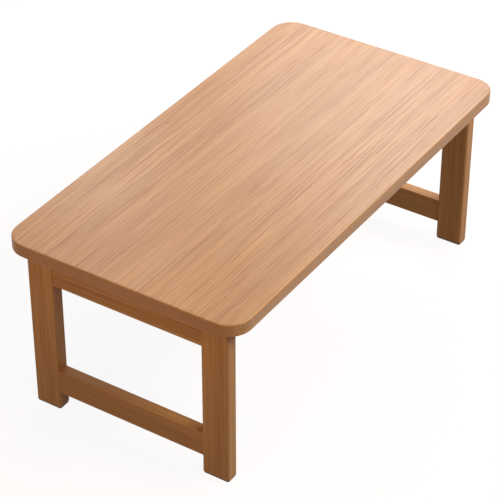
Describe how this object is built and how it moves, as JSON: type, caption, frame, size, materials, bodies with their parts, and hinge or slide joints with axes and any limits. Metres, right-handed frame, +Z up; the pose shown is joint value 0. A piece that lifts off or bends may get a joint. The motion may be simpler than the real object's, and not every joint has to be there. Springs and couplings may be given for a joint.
{
  "type": "folding coffee table",
  "caption": "Low rectangular wooden coffee table with a thick round-cornered top on leg frames that fold flat under it on steel hinges.",
  "frame": {"origin": "on the floor, under the middle of the table top", "axes": "+X along the table from the near leg frame to the far one, +Y across it to the left, +Z up"},
  "size_m": [1.136, 0.6, 0.447],
  "materials": {
    "top_wood": "clear satin lacquer on light wood",
    "frame_wood": "clear satin lacquer on light wood",
    "hinge_steel": "zinc-plated steel",
    "spring_steel": "bare spring steel",
    "pad_rubber": "matt dark rubber"
  },
  "bodies": {
    "table_top": {"top_panel": "top_wood", "top_leaf_screws": "hinge_steel", "catch_screws": "hinge_steel", "near_left_top_leaf": "hinge_steel", "near_right_top_leaf": "hinge_steel", "far_left_top_leaf": "hinge_steel", "far_right_top_leaf": "hinge_steel", "near_catch": "spring_steel", "far_catch": "spring_steel"},
    "near_leg_frame": {"near_left_leg": "frame_wood", "near_right_leg": "frame_wood", "near_upper_rail": "frame_wood", "near_stretcher": "frame_wood", "near_left_rail_leaf": "hinge_steel", "near_left_hinge_pin": "hinge_steel", "near_right_rail_leaf": "hinge_steel", "near_right_hinge_pin": "hinge_steel", "near_rail_leaf_screws": "hinge_steel", "near_foot_pads": "pad_rubber"},
    "far_leg_frame": {"far_left_leg": "frame_wood", "far_right_leg": "frame_wood", "far_upper_rail": "frame_wood", "far_stretcher": "frame_wood", "far_left_rail_leaf": "hinge_steel", "far_left_hinge_pin": "hinge_steel", "far_right_rail_leaf": "hinge_steel", "far_right_hinge_pin": "hinge_steel", "far_rail_leaf_screws": "hinge_steel", "far_foot_pads": "pad_rubber"}
  },
  "joints": [
    {"name": "near_leg_fold", "type": "hinge", "parent": "table_top", "child": "near_leg_frame", "pos_m": [-0.5042, 0, 0.4117], "axis": [0, -1, 0], "range_deg": [0, 90], "deforming": ["near_catch"]},
    {"name": "far_leg_fold", "type": "hinge", "parent": "table_top", "child": "far_leg_frame", "pos_m": [0.5042, 0, 0.4117], "axis": [0, 1, 0], "range_deg": [0, 90], "deforming": ["far_catch"]}
  ]
}
